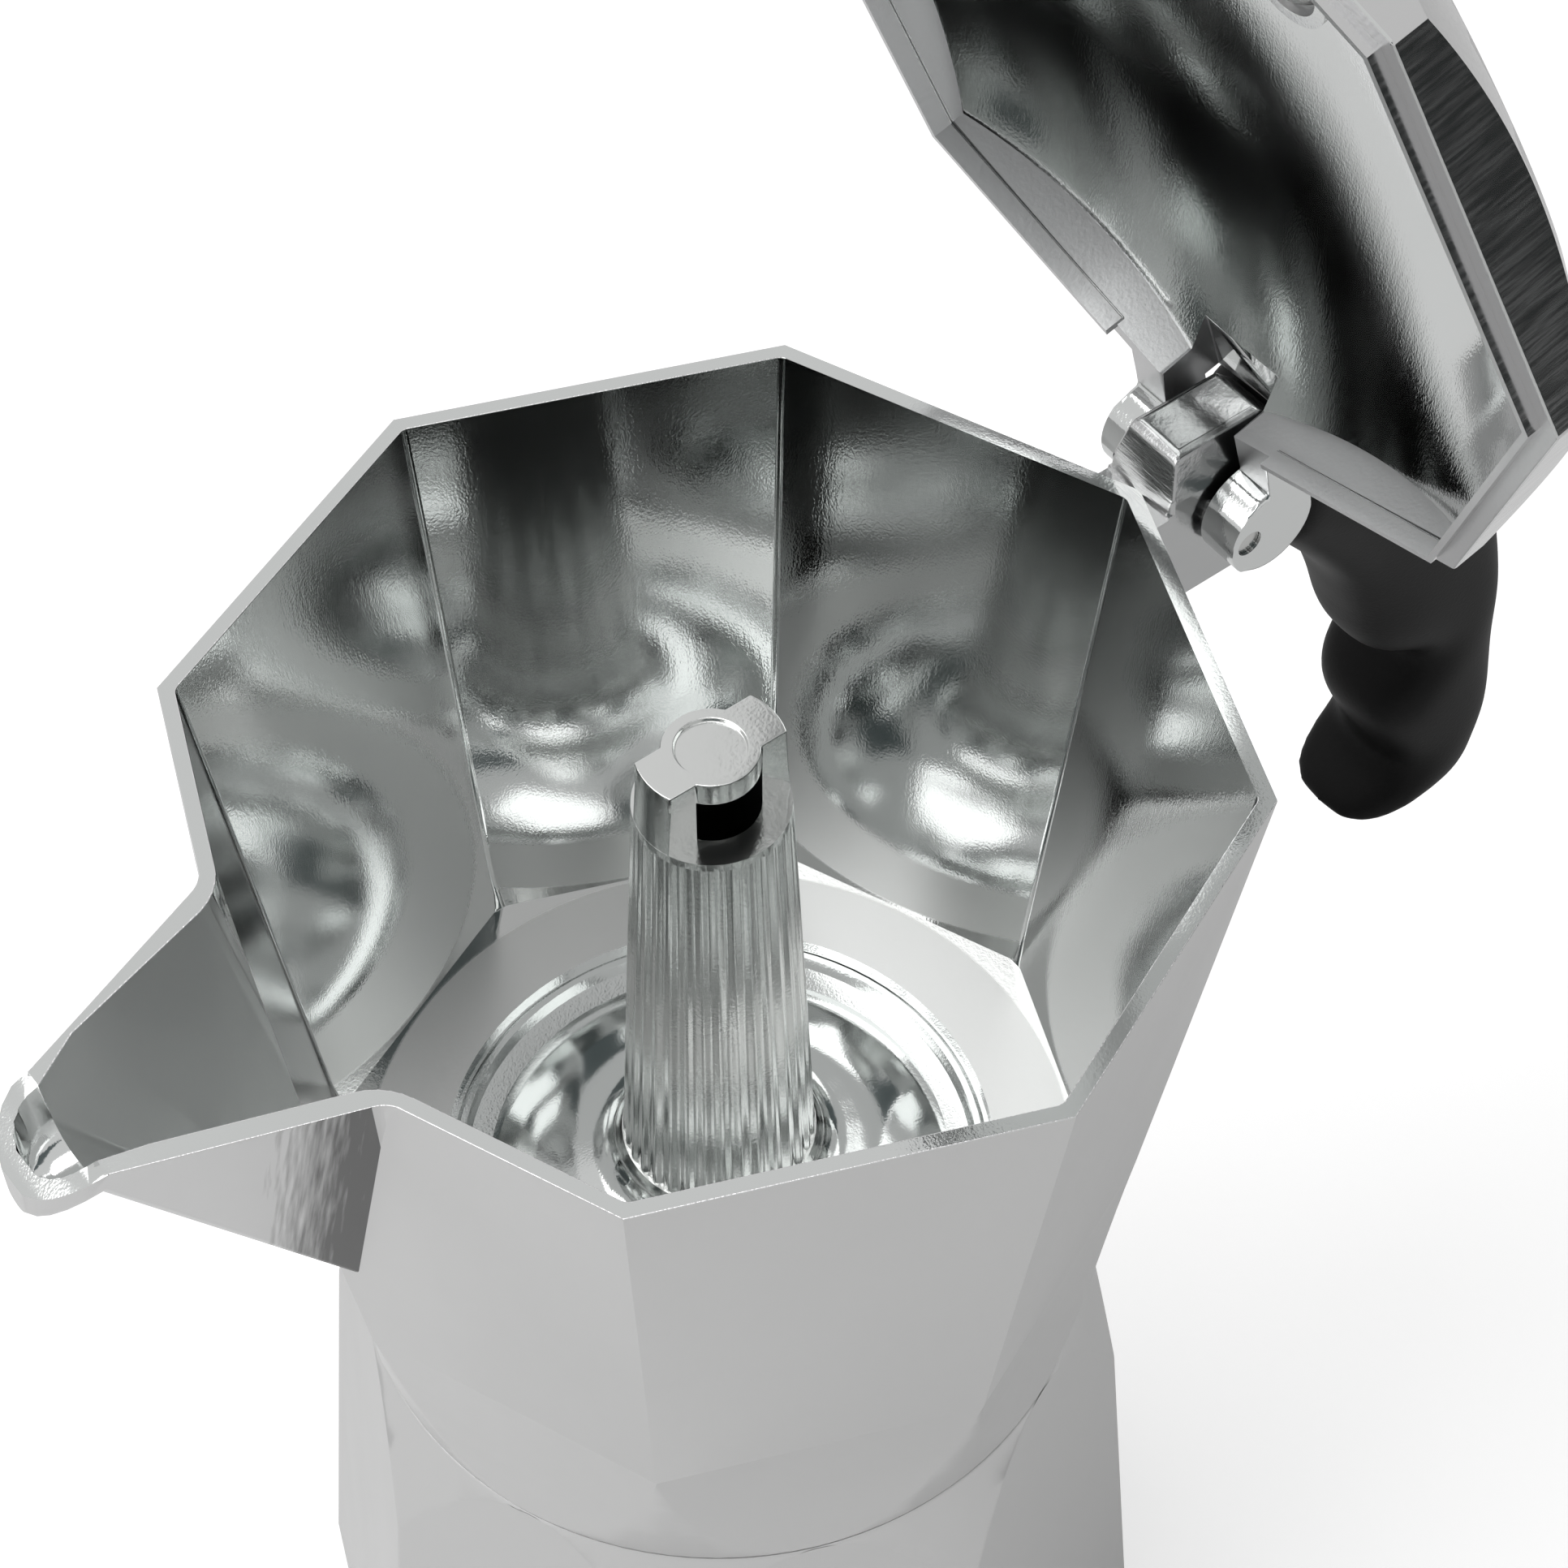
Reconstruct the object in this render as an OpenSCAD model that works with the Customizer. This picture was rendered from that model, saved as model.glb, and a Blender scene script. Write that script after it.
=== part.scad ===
// Stove-top moka pot: octagonal cast aluminium, three chambers, hinged lid.
// Origin at the centre of the base's underside, +Z up, +X towards the handle, spout along -X.

/* [Collector] */
// Circle through the octagon's corners at the rim
rim_r = 56; // [50:0.5:64]
// Height of the rim above the table
rim_z = 174; // [160:1:190]
// Radius lost by the corners for each millimetre down from the rim
wall_slope = 0.1423; // [0.12:0.005:0.16]
// Thickness of the cast wall at the corners
collector_wall = 1.86; // [1.4:0.1:2.6]
// Height of the flat ring round the chamber's floor
floor_z = 101; // [99:0.5:104]
// Radius of the polished dish in the floor
dish_r = 31.2; // [28:0.2:33]
// Height of the dish where it meets the column
dish_top_z = 104; // [103:0.5:106]
// Outer radius of the column where it leaves the dish
column_foot_r = 10.9; // [9.5:0.1:12]
// Outer radius of the column at its top
column_top_r = 7.83; // [7:0.1:9]
// Drop of the column's top below the rim
column_drop = 0.5; // [0:0.5:4]
// Radius of the bore that the coffee rises through
column_bore_r = 5.1; // [4:0.1:5.6]
// Number of soft ribs round the column
column_ribs = 32; // [16:2:40]
// Height of the two vents under the column's cap
vent_h = 5.6; // [3:0.2:8]
// Thickness of the column's cap
cap_h = 3; // [2:0.2:4]

/* [Waist] */
// Radius of the round waist where the two halves meet
waist_r = 42; // [41:0.5:43.5]
// Height of the waist above the table
waist_z = 84; // [80:1:88]
// Radius gained by the collector's round collar for each millimetre up
collar_slope = 0.191; // [0.15:0.01:0.25]
// Height of the collar at the middle of each flat
collar_h = 24.3; // [18:0.5:28]

/* [Spout] */
// Half width of the spout where it leaves the wall
spout_root_half = 16.2; // [13:0.1:18]
// Distance from the octagon's corner to the start of the spout's lip
spout_reach = 17.8; // [14:0.2:22]
// Half width of the spout at the start of its lip
spout_end_half = 7.2; // [6:0.2:10]
// Depth at which the spout's keel leaves the corner
spout_root_depth = 47.8; // [36:0.2:52]
// Depth of the spout at the start of its lip
spout_end_depth = 8.1; // [8:0.2:16]
// Length of the rounded lip
lip_l = 6.6; // [4:0.2:9]
// Drop of the lip at its very front
lip_drop = 3.8; // [1:0.2:5]
// Radius of the fillet between the wall and the side of the spout
spout_fillet_r = 7; // [4:0.5:9]
// Wall of the spout
spout_wall = 1.9; // [1.4:0.1:2.6]

/* [Hinge] */
// Distance from the octagon's corner to the hinge pin
pin_out = 6.3; // [5.8:0.1:8]
// Drop of the hinge pin's axis below the rim
pin_drop = 3.3; // [2.8:0.1:4]
// Radius of the hinge pin
pin_r = 1.5; // [1:0.1:2]
// Half width of the hinge block on the collector
block_half = 4.8; // [4:0.1:6]
// Half width of the hinge block's top
block_top_half = 3.7; // [3:0.1:4.5]
// Height of the block's top above the rim
block_top = 7.1; // [6.5:0.1:7.5]
// Distance of the block's front face outside the octagon's corner
block_front_step = -0.3; // [-0.6:0.1:0]
// Distance of the block's far top edge beyond the pin
block_back_l = 6.2; // [5:0.1:7]
// Thickness of each ear of the lid
ear_t = 5.5; // [4:0.1:7]
// Radius of the ears' rounded end
ear_r = 5.7; // [4.5:0.1:6]
// Angle that the lid stands open at rest
lid_open = 75; // [60:1:75]

/* [Lid] */
// Distance that the lid's rim stands inside the collector's rim
lid_step = 0.3; // [0:0.1:1]
// Gap between the lid's rim and the collector's rim when shut
lid_gap = 0.3; // [0.2:0.1:0.6]
// Thickness of the lid's side wall
lid_wall = 2.3; // [1.6:0.1:3]
// Radius of the lid's inner dome
dome_r = 85; // [80:1:95]
// Height of the inner dome's top above the collector's rim
dome_top = 21.8; // [20:0.2:24]
// Thickness of the lid's roof
roof_t = 2.3; // [1.8:0.1:3]
// Depth of the lip that locates the shut lid
locating_lip_h = 1.5; // [1:0.1:2.5]
// Thickness of the locating lip
locating_lip_t = 0.7; // [0.5:0.1:1]

/* [Knob] */
// Radius of the knob at its widest
knob_r = 10.5; // [8:0.5:13]
// Height of the knob
knob_h = 17; // [13:0.5:22]
// Radius of the knob's neck
knob_neck_r = 6.6; // [6:0.1:8]
// Radius of the screw that holds the knob
screw_r = 2; // [1.5:0.1:2.5]

/* [Handle] */
// Half thickness of the handle
handle_half = 9.4; // [8.4:0.2:10.4]
// Half thickness of the tongue inside the handle
tongue_half = 3.2; // [2.5:0.1:4]
// Length of the tongue inside the handle
tongue_l = 17; // [13:0.5:19]
// Radius of the pin through the handle
handle_pin_r = 2; // [1.5:0.1:2.5]

/* [Boiler] */
// Circle through the octagon's corners at the base
base_r = 53; // [52:0.5:56]
// Radius lost by the boiler's corners for each millimetre up
boiler_slope = 0.0896; // [0.08:0.005:0.1]
// Radius gained by the boiler's round shoulder for each millimetre down
shoulder_slope = 0.288; // [0.25:0.01:0.35]
// Thickness of the boiler's wall
boiler_wall = 2.8; // [2:0.1:3.4]
// Thickness of the boiler's floor
boiler_floor = 3; // [2:0.1:5]
// Outer radius of the neck that the collector screws on to
neck_r = 36.7; // [36:0.1:37.5]
// Bore of the neck
neck_bore_r = 32.5; // [32:0.1:33.5]

/* [Funnel and seal] */
// Outer radius of the coffee basket at its mouth
basket_r = 31.6; // [30:0.1:31.9]
// Depth of the coffee basket below its flange
basket_h = 23.6; // [18:0.2:28]
// Radius of the basket's flange
flange_r = 35.2; // [34:0.1:36]
// Thickness of the funnel's sheet metal
sheet_t = 0.8; // [0.6:0.1:1.2]
// Outer radius of the funnel's stem
stem_r = 5.5; // [4.8:0.1:6]
// Height of the stem's open end above the table
stem_end_z = 8; // [6:0.5:12]
// Outer radius of the gasket
gasket_r = 36.3; // [35.6:0.1:36.6]
// Inner radius of the gasket
gasket_bore_r = 28.5; // [27:0.1:30]
// Thickness of the gasket
gasket_t = 2.2; // [1.8:0.1:3]
// Radius of the filter plate
filter_r = 32.4; // [31.5:0.1:33]
// Radius of the holes in the filter plate and the basket's sieve
sieve_hole_r = 0.7; // [0.4:0.1:0.9]
// Number of rings of holes
sieve_rings = 5; // [3:1:6]

/* [Safety valve] */
// Direction of the valve round the pot, from the handle
valve_azimuth = 67.5; // [22.5:45:157.5]
// Height of the valve above the table
valve_z = 46; // [30:1:60]
// Distance across the flats of the valve's hexagon
valve_hex = 12; // [10:0.5:14]
// Radius of the valve's threaded shank
valve_shank_r = 4.4; // [4:0.1:5]
// Distance that the plunger moves outwards when the valve blows
valve_travel = 1; // [0.6:0.1:1.2]

/* [Hidden] */

eps = 0.05;                 // overlap that joins the solids of one casting
run_fit = 0.05;             // radial clearance of a pin that turns in its hole
seat_gap = 0.2;             // clearance between faces of pieces that part or turn
thread_gap = 0.3;           // clearance between the collector's skirt and the neck
move_gap = 0.3;             // clearance kept all through the lid's swing
$fn = 96;

flat = cos(22.5);           // inner over outer radius of an octagon
pin_x = rim_r + pin_out;
lid_r = rim_r - lid_step;
sheet_metal = "silver";
cast = [0.80, 0.81, 0.80];
black = [0.03, 0.03, 0.03];
brass = [0.78, 0.62, 0.32];

// The stack of the joint between the halves, from the collector's seat down
seat_z = floor_z - 5;
gasket_z = seat_z - seat_gap - gasket_t;
flange_z = gasket_z - seat_gap - sheet_t;
neck_z = flange_z - seat_gap;
shoulder_z = waist_z - move_gap;
filter_z = gasket_z + gasket_t;

// An octagonal prism or frustum with corners on the axes, from [radius, height] corner points
module octagon_turned(profile) {
    rotate_extrude($fn = 8) polygon(profile);
}

// A closed skin over a row of rings that have the same number of points
module loft(rings) {
    n = len(rings[0]);
    last = len(rings) - 1;
    polyhedron([for (ring = rings, p = ring) p], concat(
        [[for (k = [0 : n - 1]) n - 1 - k]],
        [for (i = [0 : last - 1], k = [0 : n - 1])
            [i * n + k, i * n + (k + 1) % n, (i + 1) * n + (k + 1) % n, (i + 1) * n + k]],
        [[for (k = [0 : n - 1]) last * n + k]]));
}

// A row of holes on rings, six more holes on each ring
module sieve_holes(radius, z, h) {
    pitch = radius / (sieve_rings + 0.5);
    translate([0, 0, z]) cylinder(r = sieve_hole_r, h = h, $fn = 16);
    for (ring = [1 : sieve_rings], k = [0 : 6 * ring - 1])
        rotate(k * 60 / ring) translate([ring * pitch, 0, z])
            cylinder(r = sieve_hole_r, h = h, $fn = 16);
}

// A cylinder along Y, centred on the middle plane
module cross_cylinder(r, x, z, half) {
    translate([x, half, z]) rotate([90, 0, 0]) cylinder(r = r, h = 2 * half);
}

// ---------------------------------------------------------------- boiler

function boiler_corner_r(z) = base_r - boiler_slope * z;
base_round = 1.2;           // rounding of the boiler's bottom edge
boiler_inner_top = shoulder_z - 3.2;
boss_r = 8.5;               // pad on the wall that the valve seals on
boss_face = boiler_corner_r(valve_z) * flat + 1;
groove_w = 1.6;             // shallow groove turned in the base's underside
groove_r = base_r * flat - 9;
groove_depth = 0.5;

module boiler_outer(inset, z0, z1) {
    corner_inset = inset / flat;
    intersection() {
        octagon_turned([[0, z0],
                        [boiler_corner_r(z0) - corner_inset - (inset == 0 ? base_round : 0), z0],
                        [boiler_corner_r(z0 + base_round) - corner_inset, z0 + base_round],
                        [boiler_corner_r(z1) - corner_inset, z1], [0, z1]]);
        cylinder(r1 = waist_r + shoulder_z * shoulder_slope - inset, r2 = waist_r - inset,
                 h = shoulder_z);
    }
}

module boiler() {
    color(cast) difference() {
        union() {
            boiler_outer(0, 0, shoulder_z);
            translate([0, 0, shoulder_z - 1]) cylinder(r = neck_r, h = neck_z - shoulder_z + 1);
            rotate(valve_azimuth) translate([boss_face, 0, valve_z]) rotate([0, -90, 0])
                cylinder(r = boss_r, h = boiler_wall + 2);
        }
        boiler_outer(boiler_wall, boiler_floor, boiler_inner_top);
        translate([0, 0, boiler_inner_top - 6]) cylinder(r = neck_bore_r, h = neck_z);
        difference() {
            translate([0, 0, -1]) cylinder(r = groove_r, h = 1 + groove_depth);
            translate([0, 0, -2]) cylinder(r = groove_r - groove_w, h = 4);
        }
        rotate(valve_azimuth) translate([boss_face + 1, 0, valve_z]) rotate([0, -90, 0])
            cylinder(r = valve_shank_r + run_fit, h = boiler_wall + 12, $fn = 48);
    }
}

// ---------------------------------------------------------------- safety valve

washer_t = 0.8;
hex_t = 4;
collar_l = 1;               // round collar outside the hexagon
hex_face = boss_face + washer_t;
valve_out = hex_face + hex_t + collar_l;
shank_in = boss_face - 6;
chamber_r = 2.8;            // inside of the valve, where the spring works
seat_t = 1.4;               // inner end of the body, which the plunger seals on
seat_hole_r = 1.6;
head_t = 1.5;
head_r = chamber_r - 0.3;
stem_valve_r = 1;
head_in = shank_in + seat_t + seat_gap;
retainer_t = 1;
retainer_in = valve_out - 0.2 - retainer_t;
spring_wire_r = 0.35;
spring_turns = 4.5;
spring_gap = 0.25;          // left between the spring and the retainer with the valve open
spring_in = head_in + head_t;
spring_l = retainer_in - valve_travel - spring_gap - spring_in;

// Turns and moves a piece from its own axis along Z to the valve's place in the wall
module at_valve() {
    rotate(valve_azimuth) translate([0, 0, valve_z]) rotate([0, 90, 0]) children();
}

module valve_body() {
    color(brass) at_valve() difference() {
        union() {
            translate([0, 0, shank_in]) cylinder(r = valve_shank_r, h = hex_face - shank_in + eps,
                                                 $fn = 48);
            intersection() {
                translate([0, 0, hex_face])
                    cylinder(r = valve_hex / 2 / cos(30), h = hex_t, $fn = 6);
                translate([0, 0, hex_face])
                    cylinder(r1 = valve_hex, r2 = valve_hex / 2 + 0.2, h = hex_t);
            }
            translate([0, 0, hex_face]) cylinder(r = valve_hex / 2 - 1.6, h = hex_t + collar_l,
                                                 $fn = 48);
        }
        translate([0, 0, shank_in + seat_t]) cylinder(r = chamber_r, h = 30, $fn = 48);
        translate([0, 0, shank_in - 1]) cylinder(r = seat_hole_r, h = 30, $fn = 32);
    }
}

module valve_washer() {
    color("sienna") at_valve() difference() {
        translate([0, 0, boss_face]) cylinder(r = valve_hex / 2 + 0.9, h = washer_t);
        translate([0, 0, boss_face - 1]) cylinder(r = valve_shank_r + run_fit, h = 4, $fn = 48);
    }
}

module valve_retainer() {
    color(brass) at_valve() difference() {
        translate([0, 0, retainer_in]) cylinder(r = chamber_r - 0.02, h = retainer_t, $fn = 48);
        translate([0, 0, retainer_in - 1]) cylinder(r = stem_valve_r + run_fit, h = 4, $fn = 32);
    }
}

module valve_plunger() {
    color("gainsboro") at_valve() {
        translate([0, 0, head_in]) cylinder(r = head_r, h = head_t, $fn = 32);
        translate([0, 0, head_in]) cylinder(r = stem_valve_r, h = valve_out + 0.9 - head_in, $fn = 32);
        translate([0, 0, valve_out + 0.9]) sphere(r = stem_valve_r, $fn = 32);
    }
}

// A round wire wound along Z; its ends are cut square
module coil(mean_r, wire_r, length, turns) {
    sides = 6;
    steps = ceil(turns * 14);
    rise = length - 2 * wire_r;
    points = [for (i = [0 : steps], k = [0 : sides - 1])
        let (a = 360 * turns * i / steps, b = 360 * k / sides, r = mean_r + wire_r * cos(b))
            [r * cos(a), r * sin(a), wire_r + rise * i / steps + wire_r * sin(b)]];
    sides_faces = [for (i = [0 : steps - 1], k = [0 : sides - 1])
        let (n = (k + 1) % sides)
            [i * sides + k, i * sides + n, (i + 1) * sides + n, (i + 1) * sides + k]];
    start = [for (k = [0 : sides - 1]) sides - 1 - k];
    end = [for (k = [0 : sides - 1]) steps * sides + k];
    polyhedron(points, concat([start], sides_faces, [end]));
}

module valve_spring() {
    color("gray") at_valve() translate([0, 0, spring_in])
        coil((stem_valve_r + chamber_r) / 2, spring_wire_r, spring_l, spring_turns);
}

// ---------------------------------------------------------------- funnel

basket_draft = 1;           // the basket is this much narrower at its foot
basket_foot_z = flange_z + sheet_t - basket_h;
cone_h = 9;                 // shallow cone from the basket's foot to the stem
cone_end_z = basket_foot_z - cone_h;
socket_h = 6;               // collar that the stem is pressed into
stem_bore_r = stem_r - sheet_t;
sieve_r = basket_r - basket_draft - sheet_t - 0.1;

module funnel_basket() {
    foot_r = basket_r - basket_draft;
    color(sheet_metal) rotate_extrude() polygon([
        [stem_bore_r, cone_end_z],
        [stem_r, cone_end_z], [stem_r + run_fit, cone_end_z],
        [stem_r + run_fit, cone_end_z - socket_h],
        [stem_r + run_fit + sheet_t, cone_end_z - socket_h],
        [stem_r + run_fit + sheet_t, cone_end_z],
        [foot_r, basket_foot_z - sheet_t], [foot_r, basket_foot_z],
        [basket_r, flange_z], [flange_r, flange_z],
        [flange_r, flange_z + sheet_t], [basket_r - sheet_t, flange_z + sheet_t],
        [foot_r - sheet_t, basket_foot_z],
        [foot_r - sheet_t - 1.2, basket_foot_z],
        [stem_bore_r, cone_end_z + sheet_t]]);
}

module funnel_stem() {
    color(sheet_metal) difference() {
        translate([0, 0, stem_end_z]) cylinder(r = stem_r, h = cone_end_z - stem_end_z, $fn = 64);
        translate([0, 0, stem_end_z - 1])
            cylinder(r = stem_bore_r, h = cone_end_z - stem_end_z + 2, $fn = 64);
    }
}

module funnel_sieve() {
    color(sheet_metal) difference() {
        translate([0, 0, basket_foot_z]) cylinder(r = sieve_r, h = sheet_t);
        sieve_holes(sieve_r - 2, basket_foot_z - 1, sheet_t + 2);
    }
}

// ---------------------------------------------------------------- gasket and filter plate

module gasket() {
    color("ivory") difference() {
        translate([0, 0, gasket_z]) cylinder(r = gasket_r, h = gasket_t);
        translate([0, 0, gasket_z - 1]) cylinder(r = gasket_bore_r, h = gasket_t + 2);
    }
}

module filter_plate() {
    color(sheet_metal) difference() {
        translate([0, 0, filter_z]) cylinder(r = filter_r, h = sheet_t);
        sieve_holes(gasket_bore_r - 1.5, filter_z - 1, sheet_t + 2);
    }
}

// ---------------------------------------------------------------- collector

function wall_corner_r(z) = rim_r - wall_slope * (rim_z - z);
knee_z = waist_z + collar_h;
knee_flat = wall_corner_r(knee_z) * flat;
// The flats swell out below the knee to meet the round waist: a parabola with the wall's slope
// at the knee and the waist's radius at the foot.
swell = (waist_r - knee_flat + wall_slope * flat * collar_h) / (collar_h * collar_h);
function flat_r(d) = knee_flat - wall_slope * flat * d + swell * d * d;
collar_steps = 6;

recess_z = filter_z + sheet_t + 0.8;
skirt_bore_r = neck_r + thread_gap;
under_dish = 2.2;           // metal under the dish
column_z = dish_top_z;
column_top_z = rim_z - column_drop;
ledge_z = column_top_z - cap_h - vent_h;
rib_depth = 0.3;
cap_disc_r = 5.05;
cap_recess_r = 3.7;
leg_half = 3;
foot_fillet = 3.6;
keel_root_r = 1.8;
keel_end_r = 6;
keel_n = 12;                // straight pieces round the keel
fillet_n = 5;               // straight pieces along the fillet at the root
fillet_end_in = 67;         // direction in which the fillet ends, from the spout's length
fillet_end_out = 57;

function column_r(z) = column_foot_r
    - (column_foot_r - column_top_r) * (z - column_z) / (column_top_z - column_z);

module collector_shell() {
    intersection() {
        octagon_turned(concat(
            [[0, waist_z]],
            [for (i = [collar_steps : -1 : 0])
                let (d = collar_h * i / collar_steps) [flat_r(d) / flat, knee_z - d]],
            [[rim_r, rim_z], [0, rim_z]]));
        translate([0, 0, waist_z])
            cylinder(r1 = waist_r, r2 = waist_r + collar_slope * 100, h = 100);
    }
}

module chamber() {
    inner = rim_r - collector_wall;
    foot = wall_corner_r(floor_z) - collector_wall;
    waist_in = waist_r - collector_wall;
    intersection() {
        octagon_turned([[0, floor_z], [foot, floor_z], [inner, rim_z], [inner, rim_z + 1],
                        [0, rim_z + 1]]);
        translate([0, 0, waist_z])
            cylinder(r1 = waist_in, r2 = waist_in + collar_slope * 100, h = 100);
    }
}

// The floor inside the chamber: a flat ring, two fine steps and a dish that rises to the column
module dish_cut() {
    rotate_extrude() polygon([
        [0, floor_z + 1], [dish_r, floor_z + 1], [dish_r, floor_z - 0.9],
        [dish_r - 0.7, floor_z - 0.9], [dish_r - 1.2, floor_z - 0.5],
        [dish_r - 1.9, floor_z - 0.5], [dish_r - 2.5, floor_z - 1.6],
        [dish_r - 5, floor_z - 1.9], [0, floor_z - 1.9]]);
}

module dish() {
    edge = dish_r - 5;
    foot_r = column_foot_r + foot_fillet;
    rotate_extrude() polygon(concat(
        [[0, seat_z], [edge + 1, seat_z], [edge + 1, floor_z - 1.9]],
        [for (i = [0 : 8]) let (t = i / 8, r = edge + (foot_r - edge) * t)
            [r, floor_z - 1.9 + (dish_top_z - 0.6 - floor_z + 1.9) * (2 * t - t * t)]],
        [for (i = [1 : 5]) let (a = 90 * i / 5)
            [foot_r - foot_fillet * sin(a),
             dish_top_z - 0.6 + foot_fillet * (1 - cos(a))]],
        [[0, dish_top_z - 0.6 + foot_fillet]]));
}

// Ribbed lower length of the column, smooth collar and the two legs that carry the cap
module column() {
    rib_top = ledge_z - 0.9;
    rib_r0 = column_r(column_z);
    points = column_ribs * 6;
    translate([0, 0, column_z])
        linear_extrude(height = rib_top - column_z, scale = column_r(rib_top) / rib_r0)
            polygon([for (i = [0 : points - 1]) let (a = 360 * i / points,
                r = rib_r0 - rib_depth / 2 * (1 - cos(a * column_ribs))) [r * cos(a), r * sin(a)]]);
    translate([0, 0, rib_top - 0.1])
        cylinder(r1 = column_r(rib_top), r2 = column_r(ledge_z), h = ledge_z - rib_top + 0.1);
    intersection() {
        translate([0, 0, ledge_z - 0.1])
            cylinder(r1 = column_r(ledge_z), r2 = column_r(column_top_z),
                     h = column_top_z - ledge_z + 0.1);
        translate([-20, -leg_half, ledge_z - 0.1])
            cube([40, 2 * leg_half, column_top_z - ledge_z + 0.1]);
    }
    translate([0, 0, column_top_z - cap_h]) cylinder(r = cap_disc_r, h = cap_h, $fn = 64);
}

// Space under the dish and the bore up to the underside of the cap
module rising_space() {
    rotate_extrude() polygon([
        [0, seat_z - 20], [skirt_bore_r, seat_z - 20], [skirt_bore_r, seat_z],
        [filter_r + thread_gap, seat_z], [filter_r + thread_gap, recess_z],
        [dish_r - 5, recess_z], [column_foot_r + foot_fillet, dish_top_z - 1 - under_dish],
        [column_bore_r + 1.5, dish_top_z + foot_fillet - 2], [column_bore_r, dish_top_z + 12],
        [column_bore_r, column_top_z - cap_h], [0, column_top_z - cap_h]]);
}

// Section of the spout across its length: straight sides that meet a round keel. Each lower point
// stands nearer to the axis by the rake, so that the sections at the root lie along the wall.
function spout_ring(x, half, depth, keel_r, top, lift, rake) =
    let (centre = depth - keel_r,
         turn = atan2(centre, half) - acos(keel_r / norm([half, centre])),
         lean = (half - keel_r * cos(turn)) / (centre - keel_r * sin(turn)),
         wide = half + lift * lean)
    concat([[x - lift * rake, wide, top + lift], [x - lift * rake, -wide, top + lift]],
           [for (i = [0 : keel_n])
               let (w = 180 - turn + (180 + 2 * turn) * i / keel_n,
                    drop = centre - keel_r * sin(w))
               [x + drop * rake, keel_r * cos(w), top - drop]]);

spout_end_x = rim_r + spout_reach;
corner_lean = tan(22.5);    // how far a side of the octagon falls back for each millimetre of width
// where the straight side of the spout would meet the wall
root_x = rim_r - spout_root_half * corner_lean;
side_turn = atan((spout_root_half - spout_end_half) / (spout_end_x - root_x));
keel_x = wall_corner_r(rim_z - spout_root_depth);
keel_fall = (spout_root_depth - spout_end_depth) / (spout_end_x - keel_x);
function root_depth(x) = (spout_root_depth + keel_fall * (keel_x + x)) / (1 - keel_fall * wall_slope);
function fillet_run(r, end) = r * (sin(end) - sin(side_turn));
function fillet_rise(r, end) = r * (cos(side_turn) - cos(end));

// The spout from the wall to the front of its lip: a fillet at its root, a straight stretch and a
// rounded lip. The hollow is the same form set in by the wall, and it runs on into the chamber.
function spout_rings(inset, lift) =
    let (side = inset * 1.05, r = inset > 0 ? spout_fillet_r : spout_fillet_r / 2,
         end = inset > 0 ? fillet_end_in : fillet_end_out,
         wall_x = inset > 0 ? root_x - collector_wall + side * corner_lean : root_x,
         run = fillet_run(r, end), rise = fillet_rise(r, end),
         set = (run - rise * corner_lean) / (1 - tan(side_turn) * corner_lean),
         half = spout_root_half - side - set * tan(side_turn),
         inner_x = run - wall_x - set)
    concat(
        [spout_ring(inner_x + (inset > 0 ? 8 : 1.5), half + rise, root_depth(inner_x) - inset,
                    keel_root_r, rim_z, lift, wall_slope)],
        [for (i = [0 : fillet_n])
            let (w = end - (end - side_turn) * i / fillet_n, x = fillet_run(r, w) - wall_x - set)
            spout_ring(x, half + fillet_rise(r, w), root_depth(x) - inset, keel_root_r,
                       rim_z, lift, wall_slope)],
        [for (t = [0, 0.3, 0.55, 0.75, 0.9, 1])
            let (round = sqrt(1 - t * t * 0.93), keel = keel_end_r * round - inset * round)
            spout_ring(-spout_end_x - (lip_l - inset * 0.9) * t,
                       (spout_end_half - side) * round,
                       (spout_end_depth - inset) * (0.35 + 0.65 * round),
                       keel, rim_z - lip_drop * t * t, lift, 0)]);

arm_bottom = -14.2;         // underside of the arm, from the rim
shoulder_x = pin_x + 9.9;   // face of the arm that the handle butts on
tongue_bottom = -13;
tongue_top = -1.2;
block_front = rim_r + block_front_step;
block_edge_r = 1.6;
block_lean = 1.2;           // the block's front leans back by this much up to its top
block_taper_z = 1.5;        // height above which the block's sides lean in
handle_pin_x = shoulder_x + tongue_l / 2;
handle_pin_z = (tongue_bottom + tongue_top) / 2;

// One side of the block's cross-section, from its foot up to its rounded top edge
block_arc = 5;
function block_side(side) = concat(
    [[side * block_half, arm_bottom - 1], [side * block_half, block_taper_z]],
    [for (i = [0 : block_arc]) let (a = 90 * i / block_arc)
        [side * (block_top_half - 1 + cos(a)), block_top - 1 + sin(a)]]);

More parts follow.
